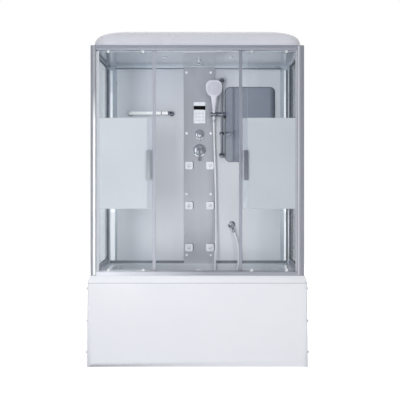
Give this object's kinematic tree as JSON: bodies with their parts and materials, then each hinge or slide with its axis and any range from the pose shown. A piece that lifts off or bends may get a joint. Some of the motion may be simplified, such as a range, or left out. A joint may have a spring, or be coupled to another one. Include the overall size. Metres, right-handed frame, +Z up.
{
  "type": "shower cabin",
  "caption": "Shower cabin with a deep tray, sliding glass doors, a column with mixer, jets and controller, hand shower on a rail, mirror, towel rail and domed roof.",
  "frame": {"origin": "on the floor under the middle of the cabin's bounding box", "axes": "+Z up, the doors face -Y, +X to the right of someone facing the doors"},
  "size_m": [1.513, 0.85, 2.2943],
  "materials": {
    "white_acrylic": "glossy white acrylic",
    "galvanised_steel": "galvanised square tube",
    "grey_plastic": "matt grey waste fittings",
    "chrome": "bright chrome plate",
    "aluminium": "satin silver anodised",
    "clear_glass": "clear tempered glass with a frosted band",
    "wall_panel": "glossy light grey",
    "column_panel": "satin silver",
    "white_plastic": "glossy white",
    "mirror": "silvered glass",
    "brass": "plain cast brass",
    "hose_plastic": "silver spiral hose"
  },
  "bodies": {
    "cabin": {"back_panel_left": "wall_panel", "back_panel_right": "wall_panel", "ceiling_panel": "white_acrylic", "column_panel": "column_panel", "controller": "white_plastic", "drain_cover": "chrome", "fixed_glass_left": "clear_glass", "fixed_glass_right": "clear_glass", "front_apron": "white_acrylic", "front_bottom_rail": "aluminium", "front_post_left": "aluminium", "front_post_right": "aluminium", "front_top_rail": "aluminium", "hose_lower": "hose_plastic", "mirror": "mirror", "overflow_cover": "chrome", "rear_bottom_rail": "aluminium", "rear_post_left": "aluminium", "rear_post_right": "aluminium", "rear_top_rail": "aluminium", "riser_rail": "chrome", "roof_dome": "white_acrylic", "side_bottom_rail_left": "aluminium", "side_bottom_rail_right": "aluminium", "side_glass_left": "clear_glass", "side_glass_right": "clear_glass", "side_top_rail_left": "aluminium", "side_top_rail_right": "aluminium", "support_frame": "galvanised_steel", "towel_rail": "chrome", "tray": "white_acrylic", "valve_block": "brass", "wall_elbow": "chrome", "waste_trap": "grey_plastic"},
    "door_left": {"door_glass_left": "clear_glass", "door_profile_left": "aluminium", "door_handle_left": "chrome"},
    "door_right": {"door_glass_right": "clear_glass", "door_profile_right": "aluminium", "door_handle_right": "chrome"},
    "wheel_left_inner": {"door_wheel_left_inner": "white_plastic"},
    "wheel_left_outer": {"door_wheel_left_outer": "white_plastic"},
    "wheel_right_inner": {"door_wheel_right_inner": "white_plastic"},
    "wheel_right_outer": {"door_wheel_right_outer": "white_plastic"},
    "slider": {"holder_slider": "chrome"},
    "handset": {"holder_cradle": "chrome", "hand_shower": "white_plastic", "hose_upper": "hose_plastic"},
    "soap_dish": {"soap_dish": "chrome"},
    "mixer_knob": {"mixer_knob": "chrome"},
    "mixer_lever": {"mixer_lever": "chrome"},
    "diverter_knob": {"diverter_knob": "chrome"},
    "rain_shower": {"rain_shower": "chrome"},
    "jet_1": {"jet_nozzle_1": "white_plastic"},
    "jet_2": {"jet_nozzle_2": "white_plastic"},
    "jet_3": {"jet_nozzle_3": "white_plastic"},
    "jet_4": {"jet_nozzle_4": "white_plastic"},
    "jet_5": {"jet_nozzle_5": "white_plastic"},
    "jet_6": {"jet_nozzle_6": "white_plastic"}
  },
  "joints": [
    {"name": "left_door_slide", "type": "slide", "parent": "cabin", "child": "door_left", "axis": [1, 0, 0], "range_m": [0, 0.282]},
    {"name": "right_door_slide", "type": "slide", "parent": "cabin", "child": "door_right", "axis": [-1, 0, 0], "range_m": [0, 0.282]},
    {"name": "wheel_left_inner_spin", "type": "hinge", "parent": "door_left", "child": "wheel_left_inner", "pos_m": [-0.37, -0.35, 2.1498], "axis": [0, 1, 0], "continuous": true},
    {"name": "wheel_left_outer_spin", "type": "hinge", "parent": "door_left", "child": "wheel_left_outer", "pos_m": [-0.607, -0.35, 2.1498], "axis": [0, 1, 0], "continuous": true},
    {"name": "wheel_right_inner_spin", "type": "hinge", "parent": "door_right", "child": "wheel_right_inner", "pos_m": [0.37, -0.35, 2.1498], "axis": [0, 1, 0], "continuous": true},
    {"name": "wheel_right_outer_spin", "type": "hinge", "parent": "door_right", "child": "wheel_right_outer", "pos_m": [0.607, -0.35, 2.1498], "axis": [0, 1, 0], "continuous": true},
    {"name": "holder_slide", "type": "slide", "parent": "cabin", "child": "slider", "axis": [0, 0, 1], "range_m": [-0.06, 0.1], "deforming": ["hose_upper", "hose_lower"]},
    {"name": "holder_tilt", "type": "hinge", "parent": "slider", "child": "handset", "pos_m": [0.1175, 0.32, 1.757], "axis": [1, 0, 0], "range_deg": [-3, 25], "deforming": ["hose_upper", "hose_lower"]},
    {"name": "soap_dish_slide", "type": "slide", "parent": "cabin", "child": "soap_dish", "axis": [0, 0, 1], "range_m": [-0.1, 0.04]},
    {"name": "mixer_turn", "type": "hinge", "parent": "cabin", "child": "mixer_knob", "pos_m": [0.007, 0.375, 1.484], "axis": [0, 1, 0], "range_deg": [-45, 45]},
    {"name": "mixer_lift", "type": "hinge", "parent": "mixer_knob", "child": "mixer_lever", "pos_m": [0.007, 0.3304, 1.484], "axis": [-1, 0, 0], "range_deg": [0, 20]},
    {"name": "diverter_turn", "type": "hinge", "parent": "cabin", "child": "diverter_knob", "pos_m": [0.007, 0.375, 1.607], "axis": [0, 1, 0], "range_deg": [-60, 60]},
    {"name": "rain_shower_tilt", "type": "hinge", "parent": "cabin", "child": "rain_shower", "pos_m": [0.007, 0, 2.121], "axis": [1, 0, 0], "range_deg": [-15, 15]},
    {"name": "jet_1_tilt", "type": "hinge", "parent": "cabin", "child": "jet_1", "pos_m": [-0.074, 0.3765, 0.734], "axis": [1, 0, 0], "range_deg": [-10, 10]},
    {"name": "jet_2_tilt", "type": "hinge", "parent": "cabin", "child": "jet_2", "pos_m": [0.088, 0.3765, 0.734], "axis": [1, 0, 0], "range_deg": [-10, 10]},
    {"name": "jet_3_tilt", "type": "hinge", "parent": "cabin", "child": "jet_3", "pos_m": [-0.074, 0.3765, 1.058], "axis": [1, 0, 0], "range_deg": [-10, 10]},
    {"name": "jet_4_tilt", "type": "hinge", "parent": "cabin", "child": "jet_4", "pos_m": [0.088, 0.3765, 1.058], "axis": [1, 0, 0], "range_deg": [-10, 10]},
    {"name": "jet_5_tilt", "type": "hinge", "parent": "cabin", "child": "jet_5", "pos_m": [-0.074, 0.3765, 1.367], "axis": [1, 0, 0], "range_deg": [-10, 10]},
    {"name": "jet_6_tilt", "type": "hinge", "parent": "cabin", "child": "jet_6", "pos_m": [0.088, 0.3765, 1.367], "axis": [1, 0, 0], "range_deg": [-10, 10]}
  ],
  "couplings": [
    {"joint": "wheel_left_inner_spin", "follows": "left_door_slide", "rad_per_m": 95.238},
    {"joint": "wheel_left_outer_spin", "follows": "left_door_slide", "rad_per_m": 95.238},
    {"joint": "wheel_right_inner_spin", "follows": "right_door_slide", "rad_per_m": -95.238},
    {"joint": "wheel_right_outer_spin", "follows": "right_door_slide", "rad_per_m": -95.238}
  ]
}
